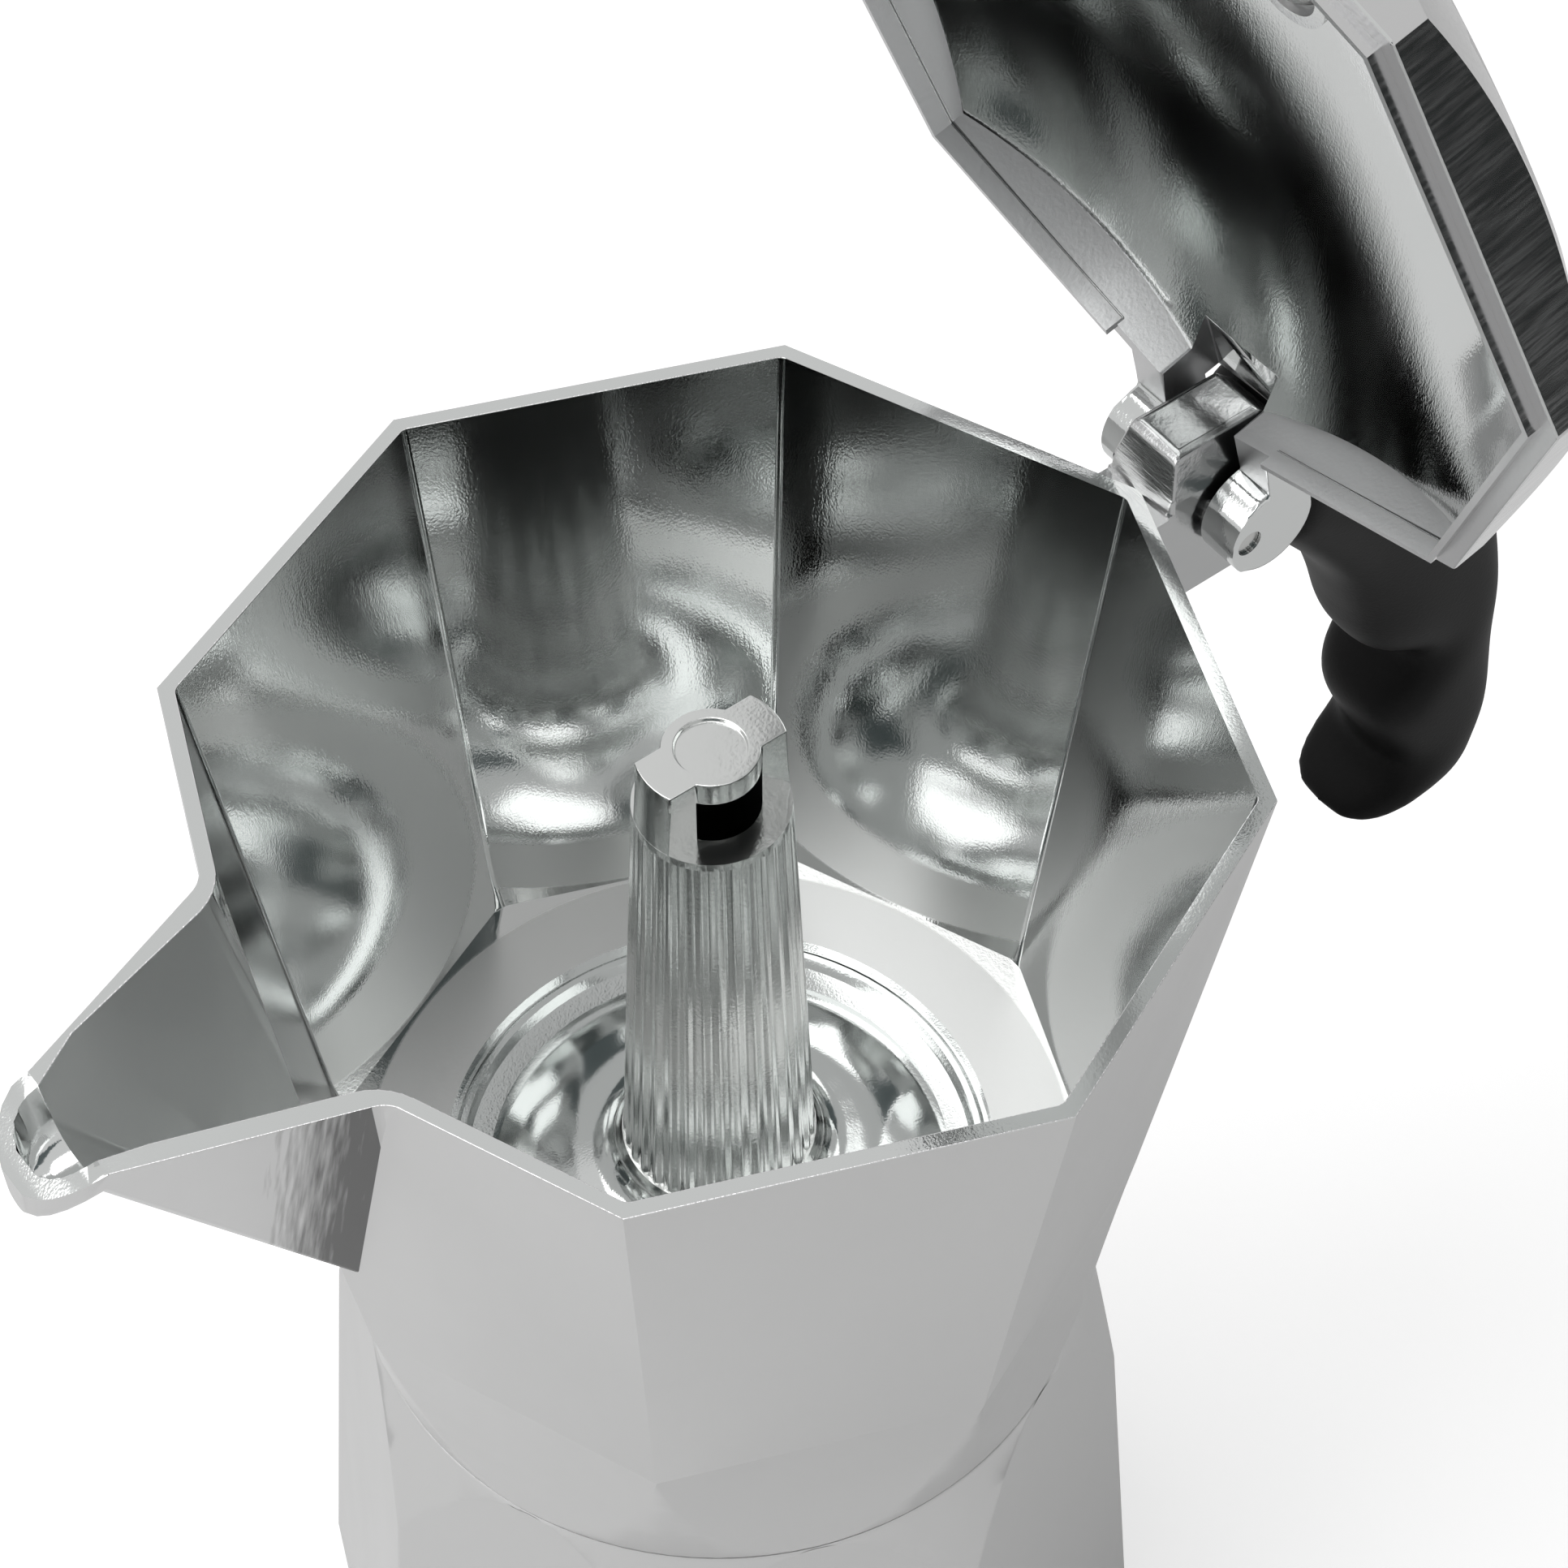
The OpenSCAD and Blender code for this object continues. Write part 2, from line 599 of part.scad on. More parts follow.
module arm() {
    back_x = pin_x + block_back_l;
    translate([0, 0, rim_z]) {
        intersection() {
            translate([0, block_half, 0]) rotate([90, 0, 0]) linear_extrude(height = 2 * block_half)
                polygon(concat(
                    [[rim_r - 8, arm_bottom], [shoulder_x, arm_bottom],
                     [shoulder_x, block_top - (shoulder_x - back_x)], [back_x, block_top]],
                    [for (i = [0 : 6]) let (a = 90 + 15 * i)
                        [block_front + block_lean + block_edge_r + block_edge_r * cos(a),
                         block_top - block_edge_r + block_edge_r * sin(a)]],
                    [[block_front, -0.4], [rim_r - 4, -0.4], [rim_r - 8, -2]]));
            union() {
                translate([0, -block_half, arm_bottom])
                    cube([block_front + 1, 2 * block_half, -arm_bottom]);
                translate([block_front, -block_half + 1, arm_bottom])
                    cube([40, 2 * block_half - 2, 40]);
                translate([block_front + 1, -block_half, arm_bottom])
                    cube([40, 2 * block_half, 40]);
                for (s = [-1, 1]) translate([block_front + 1, s * (block_half - 1), arm_bottom])
                    cylinder(r = 1, h = 40, $fn = 24);
            }
            translate([rim_r - 9, 0, 0]) rotate([90, 0, 90]) linear_extrude(height = 60)
                polygon(concat(block_side(1),
                               [for (i = [block_arc + 2 : -1 : 0]) block_side(-1)[i]]));
        }
        translate([shoulder_x - 1, -tongue_half, tongue_bottom])
            cube([tongue_l + 1, 2 * tongue_half, tongue_top - tongue_bottom]);
    }
}

module collector() {
    color(cast) difference() {
        union() {
            difference() {
                union() {
                    collector_shell();
                    loft(spout_rings(0, 0));
                    arm();
                }
                chamber();
                loft(spout_rings(spout_wall, 12));
                dish_cut();
            }
            intersection() {
                dish();
                translate([0, 0, seat_z]) cylinder(r = waist_r - 2, h = 100);
            }
            column();
        }
        rising_space();
        translate([0, 0, column_top_z - 0.5]) cylinder(r = cap_recess_r, h = 1, $fn = 48);
        cross_cylinder(pin_r + run_fit, pin_x, rim_z - pin_drop, block_half + 1);
        cross_cylinder(handle_pin_r + run_fit, handle_pin_x, rim_z + handle_pin_z, tongue_half + 1);
    }
}

// ---------------------------------------------------------------- handle

// Stations down the handle, measured from the arm's shoulder and the rim:
// [edge towards the pot, outer edge, share of the half thickness]
handle_path = [
    [[0, -14.4], [0, 4.6], 1],
    [[4.6, -20.2], [7.5, 5.0], 1],
    [[9.2, -26], [17, 3.4], 1],
    [[12.9, -31.6], [25.6, -2], 1],
    [[16, -39], [32, -12], 0.98],
    [[19.4, -47.6], [35.4, -26], 0.96],
    [[26.7, -52.6], [38.4, -41], 0.95],
    [[21.7, -61.4], [40.2, -53.6], 0.95],
    [[26.8, -73], [41, -64.4], 0.95],
    [[22.8, -77], [40.4, -71.4], 0.95],
    [[19.4, -79.6], [40.4, -75.8], 0.9],
    [[22.4, -81.2], [38.2, -78.4], 0.62],
    [[27, -80.4], [34.2, -79], 0.24]];
path_last = len(handle_path) - 1;
between = 4;                // sections between one station and the next
section_n = 28;

function knot(i, k) = handle_path[min(max(i, 0), path_last)][k];
// A smooth curve through the stations' values
function smooth(i, t, k) = 0.5 * (2 * knot(i, k) + (knot(i + 1, k) - knot(i - 1, k)) * t
    + (2 * knot(i - 1, k) - 5 * knot(i, k) + 4 * knot(i + 1, k) - knot(i + 2, k)) * t * t
    + (3 * knot(i, k) - knot(i - 1, k) - 3 * knot(i + 1, k) + knot(i + 2, k)) * t * t * t);
function sgn_pow(v, p) = sign(v) * pow(abs(v), p);

// A section is an ellipse with squared shoulders between the two edges
function handle_section(a, b, half) = [for (k = [0 : section_n - 1])
    let (w = 360 * k / section_n, u = sgn_pow(cos(w), 0.72), v = sgn_pow(sin(w), 0.72),
         p = (a + b) / 2 + (b - a) / 2 * u)
        [shoulder_x + p[0], half * v, rim_z + p[1]]];

module handle_form() {
    rows = [for (i = [0 : path_last - 1], j = [0 : between - 1]) [i, j / between]];
    rings = concat([for (q = rows) handle_section(smooth(q[0], q[1], 0), smooth(q[0], q[1], 1),
                                                  handle_half * smooth(q[0], q[1], 2))],
                   [handle_section(knot(path_last, 0), knot(path_last, 1),
                                   handle_half * knot(path_last, 2))]);
    loft(rings);
}

module handle() {
    color(black) difference() {
        handle_form();
        translate([shoulder_x - 1, -tongue_half - seat_gap / 2,
                   rim_z + tongue_bottom - seat_gap / 2])
            cube([tongue_l + 1 + seat_gap, 2 * tongue_half + seat_gap,
                  tongue_top - tongue_bottom + seat_gap]);
        cross_cylinder(handle_pin_r + run_fit, handle_pin_x, rim_z + handle_pin_z, 20);
    }
}

module handle_pin() {
    color("silver")
        cross_cylinder(handle_pin_r, handle_pin_x, rim_z + handle_pin_z, handle_half - 0.6);
}

module hinge_pin() {
    color("gainsboro")
        cross_cylinder(pin_r, pin_x, rim_z - pin_drop, block_half + seat_gap + ear_t - 0.4);
}

// ---------------------------------------------------------------- lid

// Turns a piece from its place on the shut lid to the open lid
module on_open_lid() {
    translate([pin_x, 0, rim_z - pin_drop]) rotate([0, lid_open, 0])
        translate([-pin_x, 0, pin_drop]) children();
}

dome_z = dome_top - dome_r;         // centre of the dome, from the rim
ear_x = pin_x + 0.8;
ear_z = -0.1;
ear_in = block_half + seat_gap;
stop_r = sqrt(block_back_l * block_back_l
    + (block_top + pin_drop) * (block_top + pin_drop)) + move_gap;
roof_top = dome_top + roof_t;
hood_half = block_half + 0.8;   // half width of the way for the block in the lid's corner
hood_wall = 1.5;
hood_in = rim_r - 8.2;      // inner end of the way, on the lid's inner dome
hood_out = rim_r + 0.7;     // outer end of the hood over the block
lid_inner = lid_r - lid_wall;
lip_outer = rim_r - collector_wall - 0.45;
lip_gap_half = 12;          // half of the gap that the lip leaves for the hinge
screw_seat_r = 6;
over_lid = roof_top + 16;   // a height clear of the lid, for cuts
edge_fall = 0.35;           // fall of the outermost roof facets for each millimetre out

function roof_z(r) = dome_z + sqrt((dome_r + roof_t) * (dome_r + roof_t) - r * r);

// Flat facets that show on the dome between the knob and about half way out
module roof_facets() {
    edge_r = lid_r * 0.8;
    past_r = lid_r + 4;
    octagon_turned([[0, -over_lid], [past_r, -over_lid],
                    [past_r, roof_z(edge_r) - edge_fall * (past_r - edge_r)],
                    [edge_r, roof_z(edge_r)], [lid_r * 0.53, roof_z(lid_r * 0.53)],
                    [lid_r * 0.22, roof_z(lid_r * 0.22)], [0, roof_top]]);
}

module lid_skin() {
    intersection() {
        octagon_turned([[0, lid_gap], [lid_r, lid_gap], [lid_r, over_lid], [0, over_lid]]);
        translate([0, 0, dome_z]) sphere(r = dome_r + roof_t, $fn = 160);
        roof_facets();
    }
}

module lid_space() {
    intersection() {
        octagon_turned([[0, -5], [lid_inner, -5], [lid_inner, over_lid], [0, over_lid]]);
        translate([0, 0, dome_z]) sphere(r = dome_r, $fn = 160);
    }
}

function dome_inner_z(r) = dome_z + sqrt(dome_r * dome_r - r * r);

// Hood on the corner of the lid that covers the front of the hinge block
module hinge_hood() {
    top = roof_z(hood_in - 2) - 0.1;
    difference() {
        translate([hood_in - 2, -hood_half - hood_wall, lid_gap])
            cube([hood_out - hood_in + 2, 2 * (hood_half + hood_wall), top - lid_gap]);
        lid_space();
    }
}

// The way of the hinge block under the hood, and through the whole swing
module block_way() {
    translate([0, hood_half, 0]) rotate([90, 0, 0]) linear_extrude(height = 2 * hood_half)
        polygon([[hood_in - 4, -5], [pin_x, -5], [pin_x, block_top + 1.2],
                 [hood_in, dome_inner_z(hood_in)], [hood_in - 4, dome_inner_z(hood_in)]]);
    translate([pin_x, hood_half, -pin_drop]) rotate([90, 0, 0])
        cylinder(r = stop_r, h = 2 * hood_half, $fn = 128);
}

module ear(side) {
    inner = side > 0 ? ear_in : -ear_in - ear_t;
    translate([0, inner + ear_t, 0]) rotate([90, 0, 0]) {
        translate([ear_x, ear_z, 0]) cylinder(r = ear_r, h = ear_t, $fn = 64);
        linear_extrude(height = ear_t)
            polygon([[lid_r - 9, lid_gap], [ear_x - ear_r, lid_gap],
                     [ear_x - ear_r, ear_z], [ear_x, ear_z], [ear_x, ear_z + ear_r],
                     [lid_r - 2, ear_z + ear_r], [lid_r - 9, ear_z + ear_r]]);
    }
}

module locating_lip() {
    inner = lip_outer - locating_lip_t / flat;
    difference() {
        octagon_turned([[0, lid_gap - locating_lip_h], [lip_outer, lid_gap - locating_lip_h],
                        [lip_outer, lid_gap + 1], [0, lid_gap + 1]]);
        octagon_turned([[0, -10], [inner, -10], [inner, 10], [0, 10]]);
        translate([0, -lip_gap_half, -10]) cube([rim_r, 2 * lip_gap_half, 20]);
    }
}

module lid_closed() {
    difference() {
        union() {
            difference() {
                lid_skin();
                lid_space();
            }
            hinge_hood();
            intersection() {
                translate([0, 0, dome_top - 3]) cylinder(r = screw_seat_r, h = 4);
                lid_skin();
            }
            locating_lip();
            ear(1);
            ear(-1);
        }
        block_way();
        cross_cylinder(pin_r + run_fit, pin_x, -pin_drop, 20);
        translate([0, 0, dome_top - 10]) cylinder(r = screw_r + run_fit, h = 20, $fn = 48);
        // counterbore under the screw's head
        translate([0, 0, dome_top - 6]) cylinder(r = screw_seat_r - 1.4, h = 4.2, $fn = 48);
    }
}

module lid() {
    color(cast) on_open_lid() lid_closed();
}

// ---------------------------------------------------------------- knob

insert_r = 3.6;
insert_l = 9;
knob_z = roof_top + 0.05;

module knob() {
    color(black) on_open_lid() translate([0, 0, knob_z]) difference() {
        octagon_turned([[0, 0], [knob_neck_r + 0.9, 0], [knob_neck_r, knob_h * 0.12],
                        [knob_neck_r + 0.2, knob_h * 0.3], [knob_r - 0.9, knob_h * 0.72],
                        [knob_r, knob_h * 0.82], [knob_r - 0.5, knob_h * 0.9],
                        [knob_r * 0.72, knob_h * 0.97], [0, knob_h]]);
        translate([0, 0, -1]) cylinder(r = insert_r, h = insert_l + 1, $fn = 48);
    }
}

module knob_insert() {
    color(brass) on_open_lid() translate([0, 0, knob_z]) difference() {
        cylinder(r = insert_r - 0.02, h = insert_l - 0.1, $fn = 48);
        translate([0, 0, -1]) cylinder(r = screw_r + run_fit, h = insert_l - 0.1, $fn = 48);
    }
}

module knob_screw() {
    head_r = screw_seat_r - 2;
    head_z = dome_top - 1.8;
    color("silver") on_open_lid() difference() {
        union() {
            translate([0, 0, head_z]) cylinder(r = screw_r, h = 9, $fn = 48);
            intersection() {
                translate([0, 0, head_z - 2]) cylinder(r = head_r, h = 2, $fn = 48);
                translate([0, 0, head_z + 2.4]) sphere(r = 4.8, $fn = 64);
            }
        }
        translate([-5, -0.5, head_z - 3]) cube([10, 1, 2]);
    }
}

boiler();
valve_body();
valve_washer();
valve_retainer();
valve_plunger();
valve_spring();
funnel_basket();
funnel_stem();
funnel_sieve();
gasket();
filter_plate();
collector();
handle();
handle_pin();
hinge_pin();
lid();
knob();
knob_insert();
knob_screw();
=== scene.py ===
import math

import bmesh
import bpy
from mathutils import Matrix, Vector


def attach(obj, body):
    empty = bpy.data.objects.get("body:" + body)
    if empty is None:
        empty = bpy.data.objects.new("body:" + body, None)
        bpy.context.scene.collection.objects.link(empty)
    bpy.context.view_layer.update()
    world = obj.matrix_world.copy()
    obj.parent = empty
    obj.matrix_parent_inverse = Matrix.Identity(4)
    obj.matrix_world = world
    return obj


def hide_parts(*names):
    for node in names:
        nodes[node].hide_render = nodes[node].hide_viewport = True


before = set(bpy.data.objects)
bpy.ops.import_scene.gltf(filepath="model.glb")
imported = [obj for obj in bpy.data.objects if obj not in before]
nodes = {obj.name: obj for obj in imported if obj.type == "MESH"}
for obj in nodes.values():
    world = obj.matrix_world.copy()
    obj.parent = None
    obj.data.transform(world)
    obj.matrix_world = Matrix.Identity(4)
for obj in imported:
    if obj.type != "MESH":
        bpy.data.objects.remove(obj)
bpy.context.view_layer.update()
scene = bpy.context.scene
scene.view_settings.view_transform = "Standard"

# ------------------------------------------------------------------ camera
# A long lens looks down into the open pot from the side of the spout.
eye = Vector((-0.14638, -0.20233, 0.47858))
aim = Vector((0.00263, -0.00849, 0.174))
camera = bpy.data.objects.new("camera", bpy.data.cameras.new("camera"))
camera.location = eye
camera.rotation_euler = (aim - eye).to_track_quat("-Z", "Y").to_euler()
camera.data.lens = 91.4
camera.data.sensor_width = 36
scene.collection.objects.link(camera)
scene.camera = camera

# ------------------------------------------------------------------ studio
# White paper under the pot and all round it, two soft boxes, and dark cards that only the
# bright metal sees: one beside the camera and two at the right.
surround = bpy.data.worlds.new("surround")
surround.use_nodes = True
scene.world = surround
sky = surround.node_tree
sky.nodes.clear()
sky_path = sky.nodes.new("ShaderNodeLightPath")
sky_mix = sky.nodes.new("ShaderNodeMixShader")
sky_out = sky.nodes.new("ShaderNodeOutputWorld")
sky_soft = sky.nodes.new("ShaderNodeBackground")
sky_soft.inputs["Strength"].default_value = 0.72
sky_white = sky.nodes.new("ShaderNodeBackground")
sky_white.inputs["Strength"].default_value = 1.0
mirrored = sky_path.outputs["Is Camera Ray"]
for ray in ("Is Glossy Ray", "Is Transmission Ray"):
    either = sky.nodes.new("ShaderNodeMath")
    either.operation = "MAXIMUM"
    sky.links.new(mirrored, either.inputs[0])
    sky.links.new(sky_path.outputs[ray], either.inputs[1])
    mirrored = either.outputs[0]
sky.links.new(mirrored, sky_mix.inputs[0])
sky.links.new(sky_soft.outputs[0], sky_mix.inputs[1])
sky.links.new(sky_white.outputs[0], sky_mix.inputs[2])
sky.links.new(sky_mix.outputs[0], sky_out.inputs[0])


def soft_box(name, place, target, width, height, watts):
    """A lit panel on its stand."""
    lamp = bpy.data.objects.new(name, bpy.data.lights.new(name, "AREA"))
    lamp.data.shape = "RECTANGLE"
    lamp.data.size = width
    lamp.data.size_y = height
    lamp.data.energy = watts
    lamp.location = place
    lamp.rotation_euler = (Vector(target) - Vector(place)).to_track_quat("-Z", "Y").to_euler()
    scene.collection.objects.link(lamp)


soft_box("box_left", (-0.85, 0.15, 0.75), (0, 0, 0.1), 0.8, 0.8, 4.5)
soft_box("box_top", (-0.15, 0.3, 1.1), (0, 0, 0.1), 0.6, 0.6, 2)


def card(name, centre, target, width, height, tint):
    """A felt-covered board that shows in the metal and nowhere else."""
    corners = [(-width / 2, -height / 2, 0), (width / 2, -height / 2, 0),
               (width / 2, height / 2, 0), (-width / 2, height / 2, 0)]
    turn = (Vector(target) - Vector(centre)).to_track_quat("-Z", "Y")
    mesh = bpy.data.meshes.new(name)
    mesh.from_pydata([Vector(centre) + turn @ Vector(c) for c in corners], [], [(0, 1, 2, 3)])
    felt = bpy.data.materials.new(name)
    felt.use_nodes = True
    skin = felt.node_tree.nodes["Principled BSDF"]
    skin.inputs["Base Color"].default_value = (*tint, 1)
    skin.inputs["Roughness"].default_value = 1
    mesh.materials.append(felt)
    board = bpy.data.objects.new(name, mesh)
    scene.collection.objects.link(board)
    board.visible_camera = False
    board.visible_diffuse = False
    board.visible_shadow = False


card("card_camera", (-0.35, -0.44, 0.62), (0, 0, 0.15), 0.56, 0.5, (0.16, 0.19, 0.195))
card("card_right", (0.55, -0.25, 0.45), (0, 0, 0.15), 0.5, 0.7, (0.12, 0.14, 0.14))
card("card_low", (0.5, -0.75, 0.22), (0.1, 0, 0.22), 0.5, 0.4, (0.025, 0.028, 0.028))

paper_half = 4
paper_corners = [(x * paper_half, y * paper_half, 0)
                 for x, y in ((-1, -1), (1, -1), (1, 1), (-1, 1))]
floor_mesh = bpy.data.meshes.new("floor")
floor_mesh.from_pydata(paper_corners, [], [(0, 1, 2, 3)])
floor = bpy.data.objects.new("floor", floor_mesh)
scene.collection.objects.link(floor)
paper = bpy.data.materials.new("white_paper")
paper.use_nodes = True
page = paper.node_tree
sheet = page.nodes["Principled BSDF"]
sheet.inputs["Base Color"].default_value = (0.88, 0.88, 0.88, 1)
sheet.inputs["Roughness"].default_value = 0.9
sheet.inputs["Specular IOR Level"].default_value = 0.1
sheet.inputs["Emission Color"].default_value = (1, 1, 1, 1)
page_path = page.nodes.new("ShaderNodeLightPath")
page_glow = page.nodes.new("ShaderNodeMath")
page_glow.operation = "MULTIPLY"
page_glow.inputs[1].default_value = 0.4
page.links.new(page_path.outputs["Is Camera Ray"], page_glow.inputs[0])
page.links.new(page_glow.outputs[0], sheet.inputs["Emission Strength"])
floor_mesh.materials.append(paper)

# ------------------------------------------------------------------ boiler
# The lower half: an octagon cast in aluminium whose eight flats are ground, under a round
# shoulder and a threaded neck. It holds the water and stands on the hob.


def softened(node, rounds, shape=None, flat_angle=32):
    """A copy of a solid with its doubles merged and the picked edges rounded.

    Each round is a test for an edge, a radius and a number of steps."""
    same_place, still_flat, least_corner = 2e-6, math.radians(0.4), math.radians(18)
    form = bmesh.new()
    form.from_mesh(shape or nodes[node].data)
    bmesh.ops.remove_doubles(form, verts=form.verts, dist=same_place)
    bmesh.ops.dissolve_limit(form, angle_limit=still_flat, verts=form.verts, edges=form.edges)
    for pick, radius, steps in rounds:
        edges = [e for e in form.edges if len(e.link_faces) == 2
                 and e.calc_face_angle() > least_corner and pick(e)]
        bmesh.ops.bevel(form, geom=edges, offset=radius, segments=steps, profile=0.5,
                        affect="EDGES", clamp_overlap=False)
    bmesh.ops.recalc_face_normals(form, faces=form.faces)
    mesh = bpy.data.meshes.new(node + "_finished")
    form.to_mesh(mesh)
    form.free()
    if "custom_normal" in mesh.attributes:
        mesh.attributes.remove(mesh.attributes["custom_normal"])
    mesh.materials.clear()
    for face in mesh.polygons:
        face.use_smooth = True
    mesh.set_sharp_from_angle(angle=math.radians(flat_angle))
    piece = bpy.data.objects.new(node + "_finished", mesh)
    scene.collection.objects.link(piece)
    weigh = piece.modifiers.new("weigh", "WEIGHTED_NORMAL")
    weigh.keep_sharp = True
    weigh.weight = 80
    seen = piece.evaluated_get(bpy.context.evaluated_depsgraph_get())
    finished = bpy.data.meshes.new_from_object(seen)
    piece.modifiers.clear()
    piece.data = finished
    return piece


def metal(name, colour, rough, metallic=1.0):
    """A new finish, and a hand that adds nodes to it."""
    made = bpy.data.materials.new(name)
    made.use_nodes = True
    tree = made.node_tree
    skin = tree.nodes["Principled BSDF"]
    skin.inputs["Base Color"].default_value = (*colour, 1)
    skin.inputs["Metallic"].default_value = metallic
    skin.inputs["Roughness"].default_value = rough
    place = tree.nodes.new("ShaderNodeTexCoord").outputs["Object"]
    return made, tree, skin, place


def stretched(tree, place, size, turn=(0, 0, 0), detail=2.0):
    """Noise whose marks have the given lengths, in metres, as a tool leaves them."""
    run = tree.nodes.new("ShaderNodeMapping")
    run.vector_type = "TEXTURE"
    run.inputs["Rotation"].default_value = turn
    run.inputs["Scale"].default_value = size
    noise = tree.nodes.new("ShaderNodeTexNoise")
    noise.inputs["Scale"].default_value = 1
    noise.inputs["Detail"].default_value = detail
    tree.links.new(place, run.inputs["Vector"])
    tree.links.new(run.outputs["Vector"], noise.inputs["Vector"])
    return noise.outputs["Fac"]


def raised(tree, height, depth, under=None):
    """Height of a texture laid over the surface, in metres."""
    bump = tree.nodes.new("ShaderNodeBump")
    bump.inputs["Strength"].default_value = 1
    bump.inputs["Distance"].default_value = depth
    tree.links.new(height, bump.inputs["Height"])
    if under is not None:
        tree.links.new(under, bump.inputs["Normal"])
    return bump.outputs["Normal"]


def ranged(tree, value, low, high, to_low, to_high):
    """A texture's value spread between two results."""
    spread = tree.nodes.new("ShaderNodeMapRange")
    spread.inputs["From Min"].default_value = low
    spread.inputs["From Max"].default_value = high
    spread.inputs["To Min"].default_value = to_low
    spread.inputs["To Max"].default_value = to_high
    tree.links.new(value, spread.inputs["Value"])
    return spread.outputs["Result"]


# Ground flats: crossed hair lines from the belt, and a faint cloudiness in the shine
ground_flats, tree, skin, place = metal("ground_flats", (0.62, 0.62, 0.618), 0.36)
along = stretched(tree, place, (0.00019, 0.00019, 0.011), detail=1)
across = stretched(tree, place, (0.006, 0.006, 0.00019), detail=1)
normal = raised(tree, along, 0.0000075)
normal = raised(tree, across, 0.0000065, normal)
tree.links.new(normal, skin.inputs["Normal"])
cloud = stretched(tree, place, (0.016, 0.016, 0.025), detail=3)
tree.links.new(ranged(tree, cloud, 0.3, 0.7, 0.33, 0.4), skin.inputs["Roughness"])


def long_edge(e, shortest=0.002):
    return e.calc_length() > shortest


boiler = softened("boiler", [(long_edge, 0.0004, 2)])
boiler.data.materials.append(ground_flats)
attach(boiler, "boiler_unit")
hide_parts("boiler")

# ------------------------------------------------------------------ safety valve
# A hexagonal brass body screwed into one flat, sealed by a fibre washer. A sprung steel
# plunger shows in its bore and lets steam out when the pressure is too high.
brass, tree, skin, place = metal("turned_brass", (0.70, 0.50, 0.20), 0.28)
tree.links.new(raised(tree, stretched(tree, place, (0.0011, 0.0011, 0.0011)), 0.00001),
               skin.inputs["Normal"])
steel, tree, skin, place = metal("bright_steel", (0.55, 0.55, 0.54), 0.22)
tree.links.new(raised(tree, stretched(tree, place, (0.0004, 0.0033, 0.0004)), 0.000006),
               skin.inputs["Normal"])
fibre, tree, skin, place = metal("red_fibre", (0.20, 0.05, 0.03), 0.8, 0)
tree.links.new(raised(tree, stretched(tree, place, (0.00055, 0.00055, 0.00055)), 0.00004),
               skin.inputs["Normal"])


def finished_with(finish, *names):
    """One finish for solids that need no more shape than they have."""
    for name in names:
        nodes[name].data.materials.clear()
        nodes[name].data.materials.append(finish)


finished_with(brass, "valve_body", "valve_retainer")
finished_with(fibre, "valve_washer")
finished_with(steel, "valve_plunger", "valve_spring")

# ------------------------------------------------------------------ funnel and seal
# Pressed aluminium: the coffee basket on its stem, the sieve in it and the filter plate
# above. A pale rubber ring seals the halves.
pressed, tree, skin, place = metal("pressed_sheet", (0.66, 0.66, 0.66), 0.3)
tree.links.new(raised(tree, stretched(tree, place, (0.0008, 0.0008, 0.0008)), 0.00001),
               skin.inputs["Normal"])
rubber, tree, skin, place = metal("seal_rubber", (0.72, 0.69, 0.60), 0.6, 0)
tree.links.new(raised(tree, stretched(tree, place, (0.00045, 0.00045, 0.00045)), 0.00002),
               skin.inputs["Normal"])
finished_with(pressed, "funnel_basket", "funnel_stem", "funnel_sieve", "filter_plate")
finished_with(rubber, "gasket")

# ------------------------------------------------------------------ collector
# The upper half, one aluminium die casting: chamber, column, spout and hinge block. The flats
# are ground outside, the rim is ground off level, and the inside is tumbled bright.
rim_z = 0.174
rim_least_r = 0.03      # the rim and the walls lie beyond this
floor_z = 0.101
wall_most_r = 0.0545    # the inner corners lie within this
ring_edge = 0.04        # the floor is satin up to the circle that touches its eight sides
column_reach = 0.0135
cap_r = 0.012
cap_z = 0.1655          # under the column's cap and above its windows
block_x = 0.0545
block_half = 0.006
eighth = math.pi / 8
flat_lean = 0.127       # how far the flats lean out as they rise
# Painted shade beside the spout's root: darkest within the first of these distances, gone
# beyond the second
painted_shade_darkest = 0.0365    # beside the spout's root, measured square to the flat there
painted_shade_gone = 0.0415
spout_x = -0.0485       # the spout starts here
lip_x = -0.0735         # and its lip here

# Tumbled bright: a slow swell, fine scratches and the peel of a die casting
polished, tree, skin, place = metal("bright_casting", (0.655, 0.668, 0.662), 0.1)
swell = stretched(tree, place, (0.024, 0.024, 0.04), detail=1)
peel = stretched(tree, place, (0.00024, 0.00024, 0.00036), detail=1)
streak = stretched(tree, place, (0.0006, 0.0006, 0.012), detail=1)
normal = raised(tree, swell, 0.00003)
normal = raised(tree, streak, 0.0000035, normal)
normal = raised(tree, peel, 0.0000055, normal)
tree.links.new(normal, skin.inputs["Normal"])
cloud = stretched(tree, place, (0.02, 0.02, 0.03), detail=3)
tree.links.new(ranged(tree, cloud, 0.35, 0.7, 0.05, 0.12), skin.inputs["Roughness"])

# Ground off level in one stroke, which leaves long lines across the pot
ground_rim, tree, skin, place = metal("ground_rim", (0.68, 0.675, 0.68), 0.3)
lines = stretched(tree, place, (0.016, 0.00035, 1), turn=(0, 0, math.radians(70)), detail=3)
tree.links.new(raised(tree, lines, 0.00007), skin.inputs["Normal"])
tree.links.new(ranged(tree, lines, 0.4, 0.6, 0.14, 0.4), skin.inputs["Roughness"])

